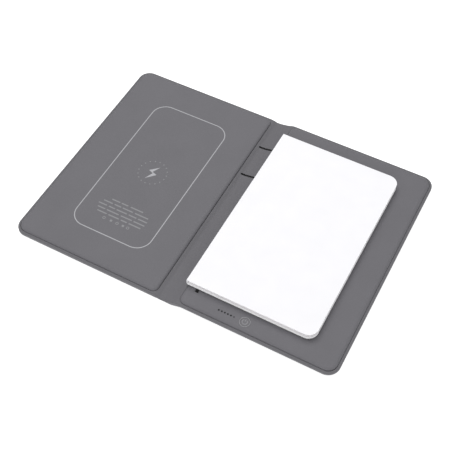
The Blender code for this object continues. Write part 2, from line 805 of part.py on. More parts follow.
def main():
    for obj in list(bpy.data.objects):
        bpy.data.objects.remove(obj, do_unlink=True)

    fixed = Body("battery_panel", (0, 0, 0))
    right = Body("spine_right", (CREASE, 0, CREASE_Z), fixed)
    left = Body("spine_left", (0, 0, CREASE_Z), right)
    charger = Body("charging_panel", (-CREASE, 0, CREASE_Z), left)
    button = Body("power_button_slide", (BUTTON_X, CONTROL_Y - 0.1, BATTERY["pad"]), fixed)
    cover = Body("notebook_cover_hinge", (BOOK[0] + 0.25, 0, (FRONT_COVER[0] + FRONT_COVER[1]) / 2), fixed)

    battery_panel(fixed, button)
    notebook_strap(fixed)
    notebook(fixed, cover)
    spine_half(right, 1, "right")
    spine_half(left, -1, "left")
    charging_panel(charger)


main()
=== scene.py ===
"""Looks for the wireless charging notebook folio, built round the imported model.

Lengths in the tables and helpers are millimetres in the frame's own axes: +X from the
charging side to the battery side, +Y up the page, +Z up from the table.  Each mesh is
scaled to metres when its object is made.  The floor, lamps and camera are placed in metres.
"""

import math

import bmesh
import bpy
from mathutils import Matrix, Vector


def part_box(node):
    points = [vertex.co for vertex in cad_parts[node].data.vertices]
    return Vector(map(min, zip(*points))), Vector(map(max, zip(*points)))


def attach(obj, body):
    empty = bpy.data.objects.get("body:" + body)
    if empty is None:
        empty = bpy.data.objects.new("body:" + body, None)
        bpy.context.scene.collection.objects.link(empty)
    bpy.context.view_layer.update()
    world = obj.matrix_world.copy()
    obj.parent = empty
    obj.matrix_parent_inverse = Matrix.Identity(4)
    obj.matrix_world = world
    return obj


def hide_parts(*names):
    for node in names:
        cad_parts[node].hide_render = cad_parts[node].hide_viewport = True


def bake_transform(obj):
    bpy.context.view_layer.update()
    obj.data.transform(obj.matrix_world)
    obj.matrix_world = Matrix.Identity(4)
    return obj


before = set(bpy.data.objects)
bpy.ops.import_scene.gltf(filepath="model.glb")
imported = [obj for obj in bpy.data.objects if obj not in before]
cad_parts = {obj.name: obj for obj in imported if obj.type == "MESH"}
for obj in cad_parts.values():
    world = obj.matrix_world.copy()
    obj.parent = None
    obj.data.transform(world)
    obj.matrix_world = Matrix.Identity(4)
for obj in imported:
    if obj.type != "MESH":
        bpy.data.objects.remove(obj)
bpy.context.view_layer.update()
MM = 0.001

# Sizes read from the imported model


def span(node):
    """Lowest and highest corner of a CAD node, in millimetres."""
    low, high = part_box(node)
    return low / MM, high / MM


LEFT_HIGH = span("charger_cover_skin")[1]
RIGHT_HIGH = span("battery_cover_skin")[1]
HALF_WIDTH = RIGHT_HIGH.x
HALF_HEIGHT = RIGHT_HIGH.y
LEFT_PAD_TOP = span("charging_pad")[1].z
RIGHT_PAD_TOP = span("notebook_pad")[1].z
LEFT_RIM = LEFT_HIGH.z
RIGHT_RIM = RIGHT_HIGH.z

# Leather folio
CORNER = 11.0
LEATHER = 0.9
LIP_INSET = 2.45  # from the folio's edge to the groove round a pad
PAD_INSET = 2.5  # from the folio's edge to the side of a pad
EDGE_FLAT = 1.5  # inset at which the rim's rounded edge turns level
CREASES = (-7.4, 0.0, 8.1)  # pressed lines in the underside
CREASE_HALF = 0.8
CREASE_DEPTH = 0.3
STRIP_STEP = 0.35  # between the cross-sections of the spine's leather
PAD_EDGE = 3.0  # how far in from its side a pad's rounded edge runs
PAD_TURN = 12
SHARP_ANGLE = math.radians(35.0)

# Height of the inner leather over the spine, from the charging side's rim to the other
SPINE_HEIGHTS = (
    (-13.0, LEFT_RIM), (-11.2, LEFT_RIM - 0.06), (-10.2, 3.76), (-9.2, 3.5), (-8.2, 3.24),
    (-7.0, 2.84), (-6.2, 2.62), (-5.5, 2.5), (-4.5, 2.48), (-3.0, 2.54), (-1.5, 2.7),
    (0.0, 2.93), (2.0, 3.33), (4.0, 3.78), (4.5, 3.9), (5.5, 4.16), (7.0, 4.64), (8.5, 5.2),
    (9.9, 5.74), (10.9, 6.08), (11.6, 6.26), (12.4, 6.37), (13.5, RIGHT_RIM),
)

# One panel: its side of the spine; how far from mid-spine its leather, the lip of its groove
# and its pad start; heights of its rim and pad; the lip's corner radius beside the spine; and
# the hollow under the pad, down its side to its floor, as inset and height
LEFT = {"side": -1, "seam": 9.2, "lip": 10.0, "pad": 10.12, "rim": LEFT_RIM,
        "top": LEFT_PAD_TOP, "lip_r": 5.6, "floor": ((LEATHER, LEATHER),)}
RIGHT = {"side": 1, "seam": 10.4, "lip": 11.4, "pad": 11.52, "rim": RIGHT_RIM,
         "top": RIGHT_PAD_TOP, "lip_r": 6.0,
         "floor": ((0.9, 4.5), (1.15, 3.7), (1.9, 2.55), (3.2, 1.45), (4.9, 0.9))}

# Slits across the spine
SLIT_YS = (39.0, 76.0)
SLIT_X0, SLIT_X1 = -7.2, 8.6
SLIT_HALF = 1.05  # half a slit's width
SLIT_DEPTH = 1.7

# Print on the charging pad
OUTLINE = (-117.3, -39.6, -81.0, 78.2)  # left, right, front, back
OUTLINE_R = 14.0
OUTLINE_WIDTH = 0.85
COIL_MARK = (-78.4, -0.7)
BOLT = ((3.3, 8.3), (-4.5, 1.2), (0.5, -0.5), (-3.2, -8.9), (4.6, -0.9), (-0.4, 0.8))
DOT_RING_R = 13.5
DOT_R = 0.62
DOT_COUNT = 18
BAR_HALF = 0.62
# Plain bars for small print: centre height of each line, and where its words run
SMALL_PRINT = (
    (-44.3, ((-94.6, -86.0), (-84.6, -77.6), (-75.0, -62.1))),
    (-48.4, ((-100.7, -91.4), (-89.6, -82.5), (-81.0, -70.2), (-68.2, -54.3))),
    (-52.5, ((-103.7, -95.0), (-93.0, -86.4), (-84.9, -74.0), (-72.2, -64.0), (-62.4, -53.0))),
    (-56.6, ((-102.1, -94.2), (-92.6, -80.0), (-78.0, -66.3), (-64.5, -53.2))),
    (-60.6, ((-100.1, -90.2), (-88.3, -77.4), (-75.4, -69.0), (-67.2, -55.0))),
)
MARK_XS = (-89.9, -82.6, -76.3, -70.2, -65.3)
MARKS_Y = -65.2
INK = 0.03  # how far the ink stands proud

# Controls on the battery side
PINS = span("light_guide")
BUTTON = span("power_button")
RING = span("button_ring")
BUTTON_X = (BUTTON[0].x + BUTTON[1].x) / 2
BUTTON_Y = (BUTTON[0].y + BUTTON[1].y) / 2
LIGHT_COUNT = 6
LIGHT_MARGIN = 1.6  # from an end of the light guide to the nearest light
LIGHT_X = PINS[0].x + LIGHT_MARGIN
LIGHT_PITCH = (PINS[1].x - PINS[0].x - 2 * LIGHT_MARGIN) / (LIGHT_COUNT - 1)
LIGHT_Y = (PINS[0].y + PINS[1].y) / 2

# Notebook
BOOK_LOW, BACK_HIGH = span("notebook_back_cover")
FRONT_CORNER, BOOK_HIGH = span("notebook_front_cover")
BACK_TOP = BACK_HIGH.z
FRONT_LOW = FRONT_CORNER.z
BOOK_CORNER = 9.0
SPINE_THICK = 1.1
PAGE_START = BOOK_LOW.x + SPINE_THICK + 0.1
HINGE_END = BOOK_LOW.x + 2.4  # where the cloth hinge meets the cover
BUNDLES = 22

# Strap under the notebook, through the pad at both ends
STRAP_LOW, STRAP_HIGH = span("notebook_strap")
STRAP_X = (STRAP_LOW.x + STRAP_HIGH.x) / 2
STRAP_HALF = (STRAP_HIGH.x - STRAP_LOW.x) / 2


# ------------------------------------------------------------------ outlines


def corner(cx, cy, r, start, steps, square=False):
    """Points round a quarter turn, on a circle or pushed out to the square round it."""
    points = []
    for i in range(steps + 1):
        a = math.radians(start + 90.0 * i / steps)
        x, y = math.cos(a), math.sin(a)
        if square:
            stretch = 1.0 / max(abs(x), abs(y))
            x, y = x * stretch, y * stretch
        points.append((cx + r * x, cy + r * y))
    return points


def rounded(x0, x1, y0, y1, r0, r1, steps=14, square=False):
    """A rectangle with corners r0 at its x0 side, which may be square ones, and r1 at x1."""
    return (
        corner(x0 + r0, y0 + r0, r0, 180, steps, square)
        + corner(x1 - r1, y0 + r1, r1, 270, steps)
        + corner(x1 - r1, y1 - r1, r1, 0, steps)
        + corner(x0 + r0, y1 - r0, r0, 90, steps, square)
    )


def circle(x, y, r, steps=48):
    return [
        (x + r * math.cos(2 * math.pi * i / steps), y + r * math.sin(2 * math.pi * i / steps))
        for i in range(steps)
    ]


def level(outline, z):
    return [(x, y, z) for x, y in outline]


def spine_height(x):
    """Height of the rims and of the leather between them."""
    if x <= SPINE_HEIGHTS[0][0]:
        return SPINE_HEIGHTS[0][1]
    for (xa, za), (xb, zb) in zip(SPINE_HEIGHTS, SPINE_HEIGHTS[1:]):
        if x <= xb:
            return za + (zb - za) * (x - xa) / (xb - xa)
    return SPINE_HEIGHTS[-1][1]


def underside(x):
    """Height of the outer leather's lower face, which is pressed in along each crease."""
    depth = 0.0
    for c in CREASES:
        t = abs(x - c) / CREASE_HALF
        if t < 1.0:
            depth = CREASE_DEPTH * (0.5 + 0.5 * math.cos(math.pi * t))
    return depth


# ------------------------------------------------------------------ solids


def loft(bm, loops, closed=False):
    """A skin through loops of equally many points: capped, or joined round into a ring."""
    rings = [[bm.verts.new(p) for p in loop] for loop in loops]
    following = rings[1:] + rings[:1] if closed else rings[1:]
    for low, high in zip(rings, following):
        for i in range(len(low)):
            j = (i + 1) % len(low)
            bm.faces.new((low[i], low[j], high[j], high[i]))
    if not closed:
        bm.faces.new(list(reversed(rings[0])))
        bm.faces.new(rings[-1])


def disc(bm, x, y, stack, steps=48):
    loft(bm, [level(circle(x, y, r, steps), z) for r, z in stack])


def plate(bm, outline, z0, z1):
    loft(bm, [level(outline, z0), level(outline, z1)])


def make(name, bm, finish, body=None, stands_for=()):
    """Turns a bmesh in millimetres into a piece, with its rest position kept for the grain."""
    bmesh.ops.remove_doubles(bm, verts=bm.verts, dist=1e-5)
    bmesh.ops.recalc_face_normals(bm, faces=bm.faces)
    mesh = bpy.data.meshes.new(name)
    bm.to_mesh(mesh)
    bm.free()
    mesh.transform(Matrix.Scale(MM, 4))
    obj = bpy.data.objects.new(name, mesh)
    bpy.context.scene.collection.objects.link(obj)
    dress(obj, finish)
    if stands_for:
        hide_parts(*stands_for)
    if body:
        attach(obj, body)
    return obj


def dress(obj, finish):
    """Material, smooth shading and the rest-position attribute of a piece's mesh."""
    mesh = obj.data
    mesh.materials.clear()
    mesh.materials.append(finish)
    for p in mesh.polygons:
        p.material_index = 0
    mesh.shade_smooth()
    mesh.set_sharp_from_angle(angle=SHARP_ANGLE)
    rest = mesh.attributes.get("rest") or mesh.attributes.new("rest", "FLOAT_VECTOR", "POINT")
    flat = [c / MM for v in mesh.vertices for c in v.co]
    rest.data.foreach_set("vector", flat)


def carve(obj, cutters, finish):
    """Cuts solids, given as bmeshes in millimetres, out of a piece for good."""
    tools = []
    for bm in cutters:
        bmesh.ops.recalc_face_normals(bm, faces=bm.faces)
        mesh = bpy.data.meshes.new("cutter")
        bm.to_mesh(mesh)
        bm.free()
        mesh.transform(Matrix.Scale(MM, 4))
        tool = bpy.data.objects.new("cutter", mesh)
        bpy.context.scene.collection.objects.link(tool)
        cut = obj.modifiers.new("cut", "BOOLEAN")
        cut.operation, cut.solver, cut.object = "DIFFERENCE", "EXACT", tool
        tools.append(tool)
    seen = bpy.context.evaluated_depsgraph_get()
    obj.data = bpy.data.meshes.new_from_object(obj.evaluated_get(seen))
    obj.modifiers.clear()
    for tool in tools:
        bpy.data.objects.remove(tool)
    dress(obj, finish)


# ------------------------------------------------------------------ materials


class Shade:
    """Builds one material's nodes."""

    def __init__(self, name, **sockets):
        self.material = bpy.data.materials.new(name)
        self.material.use_nodes = True
        self.nodes = self.material.node_tree.nodes
        self.links = self.material.node_tree.links
        self.shader = self.nodes["Principled BSDF"]
        for key, value in sockets.items():
            self.shader.inputs[key.replace("_", " ")].default_value = value

    def add(self, kind, inputs=None, **settings):
        node = self.nodes.new(kind)
        for key, value in settings.items():
            setattr(node, key, value)
        for key, value in (inputs or {}).items():
            if isinstance(value, bpy.types.NodeSocket):
                self.links.new(value, node.inputs[key])
            else:
                node.inputs[key].default_value = value
        return node

    def place(self, rest=True):
        """Position in millimetres: the mesh's own rest position, or the object's."""
        if rest:
            return self.add("ShaderNodeAttribute", attribute_name="rest").outputs["Vector"]
        return self.stretch(self.add("ShaderNodeTexCoord").outputs["Object"], (1 / MM,) * 3)

    def stretch(self, where, factors):
        inputs = {0: where, 1: factors}
        return self.add("ShaderNodeVectorMath", inputs, operation="MULTIPLY").outputs[0]

    def noise(self, where, scale, detail=2.0, rough=0.5):
        inputs = {"Vector": where, "Scale": scale, "Detail": detail, "Roughness": rough}
        return self.add("ShaderNodeTexNoise", inputs).outputs["Fac"]

    def cells(self, where, scale):
        inputs = {"Vector": where, "Scale": scale}
        return self.add("ShaderNodeTexVoronoi", inputs, feature="F1").outputs["Distance"]

    def ramp(self, value, low, high, to_low, to_high):
        inputs = {"Value": value, "From Min": low, "From Max": high,
                  "To Min": to_low, "To Max": to_high}
        return self.add("ShaderNodeMapRange", inputs).outputs["Result"]

    def math(self, operation, a, b):
        return self.add("ShaderNodeMath", {0: a, 1: b}, operation=operation).outputs[0]

    def mix(self, value, dark, light):
        """Blend of two colours; the Mix node's colour sockets are A 6, B 7 and result 2."""
        inputs = {"Factor": value, 6: (*dark, 1.0), 7: (*light, 1.0)}
        return self.add("ShaderNodeMix", inputs, data_type="RGBA").outputs[2]

    def bump(self, height, distance, strength):
        inputs = {"Height": height, "Distance": distance * MM, "Strength": strength}
        return self.add("ShaderNodeBump", inputs).outputs["Normal"]

    def set(self, **sockets):
        for key, value in sockets.items():
            self.links.new(value, self.shader.inputs[key.replace("_", " ")])
        return self.material


def tint(colour, k):
    return tuple(min(1.0, c * k) for c in colour)


def leather(name, colour, rough, grain, depth, rest=True):
    """Matte coated leather: pebbled grain, faint mottling, painted shade darkening the grain's
    valleys, and slightly shinier crowns.
    """
    s = Shade(name, Specular_IOR_Level=0.32, Sheen_Weight=0.06, Sheen_Roughness=0.5)
    where = s.place(rest)
    cloud = s.noise(where, 0.035, 3.0, 0.55)
    warp = s.noise(where, 0.9, 2.0)
    pebbles = s.cells(where, 1.0 / grain)
    fine = s.noise(where, 5.0 / grain, 2.0, 0.6)
    height = s.math("ADD", s.ramp(pebbles, 0.0, 0.75, 1.0, 0.0), s.ramp(fine, 0.3, 0.7, 0.0, 0.35))
    height = s.math("ADD", height, s.ramp(warp, 0.35, 0.65, 0.0, 0.3))
    # Colour: random mottling from the cloud, plus painted shade that darkens the grain's valleys by
    # their height
    mottle_and_valley_shade = s.math("ADD", s.ramp(cloud, 0.3, 0.7, 0.1, 0.5), s.ramp(height, 0.2, 1.4, 0.0, 0.5))
    base = s.mix(mottle_and_valley_shade, tint(colour, 0.93), tint(colour, 1.06))
    gloss = s.ramp(height, 0.2, 1.4, rough + 0.08, rough - 0.06)
    return s.set(Base_Color=base, Roughness=gloss, Normal=s.bump(height, depth, 0.8))


def ink(name, colour):
    """Screen-printed ink, a little broken where it sits on the grain."""
    s = Shade(name, Specular_IOR_Level=0.4)
    where = s.place(False)
    speck = s.noise(where, 3.4, 3.0, 0.65)
    base = s.mix(s.ramp(speck, 0.32, 0.62, 0.0, 1.0), tint(colour, 0.86), tint(colour, 1.05))
    gloss = s.ramp(speck, 0.3, 0.7, 0.52, 0.4)
    return s.set(Base_Color=base, Roughness=gloss, Normal=s.bump(speck, 0.012, 0.6))


def card(name, colour, rough=0.55):
    """Smooth coated card, with faint fibre clouds."""
    s = Shade(name, Specular_IOR_Level=0.3)
    where = s.place(False)
    fibre = s.noise(where, 2.2, 4.0, 0.7)
    cloud = s.noise(where, 0.06, 2.0)
    mixed = s.math("ADD", s.ramp(fibre, 0.3, 0.7, 0.0, 0.4), s.ramp(cloud, 0.3, 0.7, 0.0, 0.6))
    base = s.mix(mixed, tint(colour, 0.975), tint(colour, 1.01))
    gloss = s.ramp(fibre, 0.3, 0.7, rough - 0.05, rough + 0.08)
    return s.set(Base_Color=base, Roughness=gloss, Normal=s.bump(fibre, 0.012, 0.5))


def page_edges(name, colour):
    """A block of cut pages: thin leaves, some paler and some standing a hair proud."""
    s = Shade(name, Specular_IOR_Level=0.15)
    where = s.place(False)
    leaf = s.noise(s.stretch(where, (0.03, 0.03, 8.0)), 1.0, 3.0, 0.7)
    fibre = s.noise(where, 6.0, 2.0)
    base = s.mix(s.ramp(leaf, 0.35, 0.65, 0.0, 1.0), tint(colour, 0.9), tint(colour, 1.05))
    gloss = s.ramp(fibre, 0.3, 0.7, 0.72, 0.88)
    return s.set(Base_Color=base, Roughness=gloss, Normal=s.bump(leaf, 0.05, 0.7))


def woven(name, colour, pitch):
    """Narrow elastic: ribs along its length, crossed by the weave."""
    s = Shade(name, Specular_IOR_Level=0.2, Sheen_Weight=0.25, Sheen_Roughness=0.4)
    where = s.place(False)
    wave = {"Vector": where, "Scale": 1.0 / pitch, "Distortion": 0.3}
    ribs = s.add("ShaderNodeTexWave", wave, bands_direction="X").outputs["Fac"]
    picks = s.add("ShaderNodeTexWave", {**wave, "Scale": 0.7 / pitch}, bands_direction="Y")
    weave = s.math("MULTIPLY", ribs, picks.outputs["Fac"])
    base = s.mix(weave, tint(colour, 0.5), tint(colour, 1.5))
    gloss = s.ramp(weave, 0.0, 1.0, 0.9, 0.7)
    return s.set(Base_Color=base, Roughness=gloss, Normal=s.bump(weave, 0.06, 0.9))


def moulded(name, colour, rough, grain=0.25, depth=0.01, metal=0.0, level=0.5):
    """Moulded or coated stock with a fine even texture."""
    s = Shade(name, Metallic=metal, Specular_IOR_Level=level)
    where = s.place(False)
    speck = s.noise(where, 1.0 / grain, 3.0, 0.6)
    cloud = s.noise(where, 0.12, 2.0)
    base = s.mix(s.ramp(cloud, 0.3, 0.7, 0.0, 1.0), tint(colour, 0.92), tint(colour, 1.06))
    gloss = s.ramp(speck, 0.3, 0.7, rough - 0.05, rough + 0.07)
    return s.set(Base_Color=base, Roughness=gloss, Normal=s.bump(speck, depth, 0.6))


def brushed(name, colour, rough, axis):
    """Drawn or rolled metal with fine scratches along one axis."""
    s = Shade(name, Metallic=1.0)
    where = s.place(False)
    factors = tuple(0.15 if i == axis else 6.0 for i in range(3))
    lines = s.noise(s.stretch(where, factors), 1.0, 4.0, 0.7)
    base = s.mix(lines, tint(colour, 0.86), tint(colour, 1.08))
    gloss = s.ramp(lines, 0.3, 0.7, rough - 0.08, rough + 0.1)
    return s.set(Base_Color=base, Roughness=gloss, Normal=s.bump(lines, 0.01, 0.5))


COVER = leather("cover_leather", (0.127, 0.124, 0.135), 0.6, 0.62, 0.045)
PAD = leather("pad_leather", (0.131, 0.128, 0.140), 0.56, 0.45, 0.03)
CAP = leather("cap_leather", (0.135, 0.132, 0.144), 0.52, 0.4, 0.02, rest=False)
INK_PALE = ink("print_pale", (0.38, 0.38, 0.40))
INK_SOFT = ink("print_soft", (0.215, 0.215, 0.226))
WHITE_CARD = card("white_card", (0.865, 0.86, 0.885))
WHITE_CLOTH = card("white_binding", (0.84, 0.835, 0.86), 0.7)
# The back cover's card is whiter than the front cover's: painted light, so that its edge shows as
# the lighter band low on the notebook's side
BACK_CARD_PAINTED_LIGHT = card("back_card_painted_light", (0.94, 0.935, 0.95))
PAGES = page_edges("page_edges", (0.80, 0.785, 0.80))
PAGE_FACE = card("page_face", (0.83, 0.825, 0.83), 0.8)
ELASTIC = woven("black_elastic", (0.012, 0.012, 0.013), 0.35)
BLACK = woven("black_webbing", (0.006, 0.006, 0.0065), 0.3)
RING_GREY = moulded("ring_grey", (0.235, 0.235, 0.245), 0.5, 0.2, 0.006, 0.1)
INK_GLYPH = ink("print_glyph", (0.24, 0.24, 0.25))
WINDOW = moulded("light_window", (0.004, 0.004, 0.005), 0.5, 0.3, 0.003, 0.0, 0.2)
WINDOW_PALE = moulded("light_window_pale", (0.06, 0.058, 0.064), 0.5, 0.3, 0.003, 0.0, 0.2)

# What the sealed parts inside are made of
INSIDE = {
    "greyboard": card("greyboard", (0.36, 0.33, 0.29), 0.85),
    "moulding": moulded("black_moulding", (0.045, 0.045, 0.05), 0.5, 0.3, 0.02),
    "copper": brushed("coil_copper", (0.72, 0.33, 0.16), 0.34, 0),
    "ferrite": moulded("ferrite", (0.06, 0.055, 0.055), 0.6, 0.4, 0.02),
    "board": moulded("circuit_board", (0.02, 0.11, 0.06), 0.42, 0.3, 0.01),
    "chip": moulded("chip_black", (0.02, 0.02, 0.022), 0.45, 0.15, 0.01),
    "can": brushed("capacitor_can", (0.5, 0.5, 0.52), 0.35, 0),
    "film": moulded("flex_film", (0.55, 0.24, 0.05), 0.35, 0.6, 0.004),
    "pouch": moulded("cell_pouch", (0.62, 0.63, 0.65), 0.32, 0.8, 0.02, 0.9),
    "steel": brushed("plated_steel", (0.62, 0.62, 0.64), 0.28, 1),
    "led": moulded("led_body", (0.82, 0.82, 0.76), 0.35, 0.3, 0.004),
}
INSIDE_NODES = {
    "greyboard": ["charger_cover_board", "battery_cover_board"],
    "moulding": ["coil_tray", "battery_frame"],
    "copper": ["charging_coil"],
    "ferrite": ["ferrite_sheet", "boost_inductor"],
    "board": ["charger_board", "main_board", "port_board"],
    "chip": ["charger_chip", "power_chip", "usb_c_tongue", "switch_plunger"],
    "can": ["charger_capacitor"],
    "film": ["charger_flex", "spine_flex_left", "spine_flex_right", "battery_flex", "link_ribbon"],
    "pouch": ["battery_cell_left", "battery_cell_right", "cell_seal_left", "cell_seal_right"],
    "steel": ["usb_c_shell", "tactile_switch"] + [f"board_screw_{i}" for i in range(1, 5)],
    "led": [f"status_light_{i}" for i in range(1, LIGHT_COUNT + 1)],
}
for kind, names in INSIDE_NODES.items():
    for node_name in names:
        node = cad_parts[node_name]
        node.data.materials.clear()
        node.data.materials.append(INSIDE[kind])


# ------------------------------------------------------------------ the leather folio

# From the bottom face round the turned edge to the level rim: inset, height above the
# table or, where the flag is set, depth below the rim
EDGE = (
    (1.4, 0.0, False), (0.9, 0.0, False), (0.45, 0.07, False), (0.2, 0.22, False),
    (0.05, 0.45, False), (0.0, 0.7, False), (0.0, 1.4, True), (0.04, 1.0, True), (0.18, 0.62, True),
    (0.5, 0.28, True), (1.1, 0.06, True), (EDGE_FLAT, 0.0, True),
)
# The same loops where the battery panel's side curves in under it
UNDERCUT = ((5.2, 0.0), (3.5, 0.3), (2.1, 1.05), (0.95, 2.2), (0.25, 3.35), (0.0, 4.3))
UNDERCUT_X = (5.0, 17.0)  # it grows from nothing between these distances from mid-spine
# Over the lip of the groove and down its wall: how far short of the lip, depth
LIP = ((0.78, 0.0), (0.55, 0.015), (0.3, 0.08), (0.12, 0.22), (0.02, 0.45), (0.0, LEATHER))
SEAM_SQUARE = 7.0  # side of the square corner where a panel's leather meets its seam
# Shares of a panel's front and back edges at which they get more points: by the spine, where
# the leather changes height, round the port, and once further out
SIDE_STEPS = (0.012, 0.025, 0.038, 0.052, 0.068, 0.283, 0.289, 0.295, 0.378, 0.384, 0.39, 0.6)


def lerp(a, b, t):
    return tuple(p + (q - p) * t for p, q in zip(a, b))


def along_sides(outline):
    """Adds points to the front and back edges of an outline, close together by the spine."""
    n = len(outline) // 4
    front = [lerp(outline[n - 1], outline[n], t) for t in SIDE_STEPS]
    back = [lerp(outline[3 * n], outline[3 * n - 1], t) for t in reversed(SIDE_STEPS)]
    return outline[:n] + front + outline[n:3 * n] + back + outline[3 * n:]


def panel_ring(panel, inset, start, depth, from_top, r, square):
    """One loop of a panel's leather, at a depth below the rim or a height over the table."""
    edge = HALF_HEIGHT - inset
    far = HALF_WIDTH - inset
    outline = rounded(start, far, -edge, edge, r, max(CORNER - inset, 0.6), square=square)
    loop = []
    for x, y in along_sides(outline):
        x *= panel["side"]
        loop.append((x, y, spine_height(x) - depth if from_top else depth))
    return loop


def tuck(x):
    """How far the battery panel's undercut has grown, this far from mid-spine."""
    t = min(1.0, max(0.0, (x - UNDERCUT_X[0]) / (UNDERCUT_X[1] - UNDERCUT_X[0])))
    return t * t * (3.0 - 2.0 * t)


def undercut_ring(plain, start, deep):
    """One loop of the base, drawn in to the undercut's inset and height away from the spine."""
    inset, height = deep
    edge, far = HALF_HEIGHT - inset, HALF_WIDTH - inset
    tucked = rounded(start, far, -edge, edge, SEAM_SQUARE, CORNER - inset, square=True)
    tucked = along_sides(tucked)
    loop = []
    for (xa, ya, za), (xb, yb) in zip(plain, tucked):
        t = tuck(max(xa, xb))
        loop.append((xa + (xb - xa) * t, ya + (yb - ya) * t, za + (height - za) * t))
    return loop


def panel_leather(name, panel, body, node):
    """Outer leather of one panel: base, turned edge, rim and the hollow under the pad."""
    seam, lip, lip_r = panel["seam"], panel["lip"], panel["lip_r"]
    loops = [panel_ring(panel, i, seam, d, top, SEAM_SQUARE, True) for i, d, top in EDGE]
    if panel is RIGHT:
        for n, deep in enumerate(UNDERCUT):
            loops[n] = undercut_ring(loops[n], seam, deep)
    for short, depth in LIP:
        loops.append(panel_ring(panel, LIP_INSET - short, lip - short, depth, True,
                                lip_r + short, False))
    inside = lip - 0.1
    loops.append(panel_ring(panel, LEATHER, inside, LEATHER, True, 1.0, True))
    for inset, height in panel["floor"]:
        loops.append(panel_ring(panel, inset, inside, height, False, 1.0, True))
    bm = bmesh.new()
    loft(bm, loops)
    return make(name, bm, COVER, body, [node])


def spine_stations(x0, x1):
    count = round((x1 - x0) / STRIP_STEP)
    return [x0 + (x1 - x0) * i / count for i in range(count + 1)]


def spine_loop(x):
    """Cross-section of the spine's leather, from the base round its front edge and back."""
    near = []
    for n, (inset, height, from_top) in enumerate(EDGE):
        z = spine_height(x) - height if from_top else height + underside(x)
        if n < len(UNDERCUT):
            inset += (UNDERCUT[n][0] - inset) * tuck(x)
            z += (UNDERCUT[n][1] - z) * tuck(x)
        near.append((x, -HALF_HEIGHT + inset, z))
    return near + [(x, -y, z) for x, y, z in reversed(near)]


def slit_solid(bm, x0, x1, y, half, low, high):
    """Adds a narrow solid that follows the spine's leather, from low to high over its surface."""
    loops = []
    for x in spine_stations(x0, x1):
        ends = min(x - SLIT_X0, SLIT_X1 - x) / 0.5
        w = half * math.sqrt(max(0.15, min(1.0, ends)))
        z = spine_height(x)
        loops.append([(x, y - w, z + low), (x, y + w, z + low), (x, y + w, z + high),
                      (x, y - w, z + high)])
    loft(bm, loops)


def spine_strip(name, x0, x1, stands_for):
    """A length of the leather over the spine, from one seam to the next, with its slits."""
    bm = bmesh.new()
    loft(bm, [spine_loop(x) for x in spine_stations(x0, x1)])
    piece = make(name, bm, COVER, None, stands_for)
    slit_x0, slit_x1 = max(x0 - 1.0, SLIT_X0), min(x1 + 1.0, SLIT_X1)
    cutters = []
    for y in SLIT_YS:
        cutter = bmesh.new()
        slit_solid(cutter, slit_x0, slit_x1, y, SLIT_HALF, -SLIT_DEPTH, 1.0)
        cutters.append(cutter)
    carve(piece, cutters, COVER)
    return piece


def slit_webbing(name, x0, x1):
    """Black webbing seen down the slits, along one strip."""
    bm = bmesh.new()
    for y in SLIT_YS:
        slit_solid(bm, max(x0, SLIT_X0 + 0.2), min(x1, SLIT_X1 - 0.2), y, SLIT_HALF * 0.9,
                   -SLIT_DEPTH, -0.25)
    return make(name, bm, BLACK, None)


def cut_port(piece):
    """Opening for the USB-C socket through the far edge."""
    low, high = span("usb_c_shell")
    outline = rounded(low.x - 0.4, high.x + 0.4, low.z - 0.32, high.z + 0.32, 1.9, 1.9)
    cutter = bmesh.new()
    loft(cutter, [[(x, y, z) for x, z in outline] for y in (HALF_HEIGHT - 4, HALF_HEIGHT + 1)])
    carve(piece, [cutter], COVER)


panel_leather("charger_leather", LEFT, "charging_panel", "charger_cover_skin")
cut_port(panel_leather("battery_leather", RIGHT, "battery_panel", "battery_cover_skin"))

# Each strip: its seams, the bodies it joins, where its bend starts and ends, what it covers
STRIPS = (
    ("spine_leather_left", -LEFT["seam"], -5.0, "charging_panel", "spine_left", -8.9, -5.6,
     ["spine_skin_left", "spine_lining_left"]),
    ("spine_leather_middle", -5.0, 5.0, "spine_left", "spine_right", -3.2, 3.2,
     ["spine_skin_left", "spine_lining_left", "spine_skin_right", "spine_lining_right"]),
    ("spine_leather_right", 5.0, RIGHT["seam"], "spine_right", "battery_panel", 5.8, 10.2,
     ["spine_skin_right", "spine_lining_right"]),
)
for strip_name, strip_x0, strip_x1, body_a, body_b, bend0, bend1, covers in STRIPS:
    strip = spine_strip(strip_name, strip_x0, strip_x1, covers)
    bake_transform(strip)
    slit = slit_webbing(strip_name.replace("leather", "slit_webbing"), strip_x0, strip_x1)
    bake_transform(slit)


# ------------------------------------------------------------------ pads

HOLE_LOW, HOLE_HIGH = 5.0, 9.0  # a hole's cutter, through the leather of the notebook's pad
LIGHT_HOLE_R = 0.84
BUTTON_HOLE_R = 4.82


def pad_leather(name, panel, body, node, holes=()):
    """The raised pad: leather over its filling, with a softly rounded edge."""
    top, rim, start = panel["top"], panel["rim"], panel["pad"]
    skirt = rim - LEATHER
    drop = top - rim + 0.15
    rings = [(LEATHER, top - LEATHER), (LEATHER, skirt), (0.0, skirt), (0.0, top - drop)]
    for i in range(1, PAD_TURN + 1):
        a = math.pi / 2 * i / PAD_TURN
        rings.append((PAD_EDGE * (1 - math.cos(a)), top - drop * (1 - math.sin(a))))
    rings += [(PAD_EDGE + 0.5, top), (PAD_EDGE + 1.2, top)]
    loops = []
    for w, z in rings:
        inset = PAD_INSET + w
        edge = HALF_HEIGHT - inset
        outline = rounded(start + w, HALF_WIDTH - inset, -edge, edge,
                          panel["lip_r"] - 0.3 - w * 0.6, CORNER - inset + 0.6)
        loops.append([(panel["side"] * x, y, z) for x, y in outline])
    bm = bmesh.new()
    loft(bm, loops)
    pad = make(name, bm, PAD, body, [node])
    if holes:
        carve(pad, holes, PAD)


def round_hole(x, y, r, steps):
    hole = bmesh.new()
    disc(hole, x, y, [(r, HOLE_LOW), (r, HOLE_HIGH)], steps)
    return hole


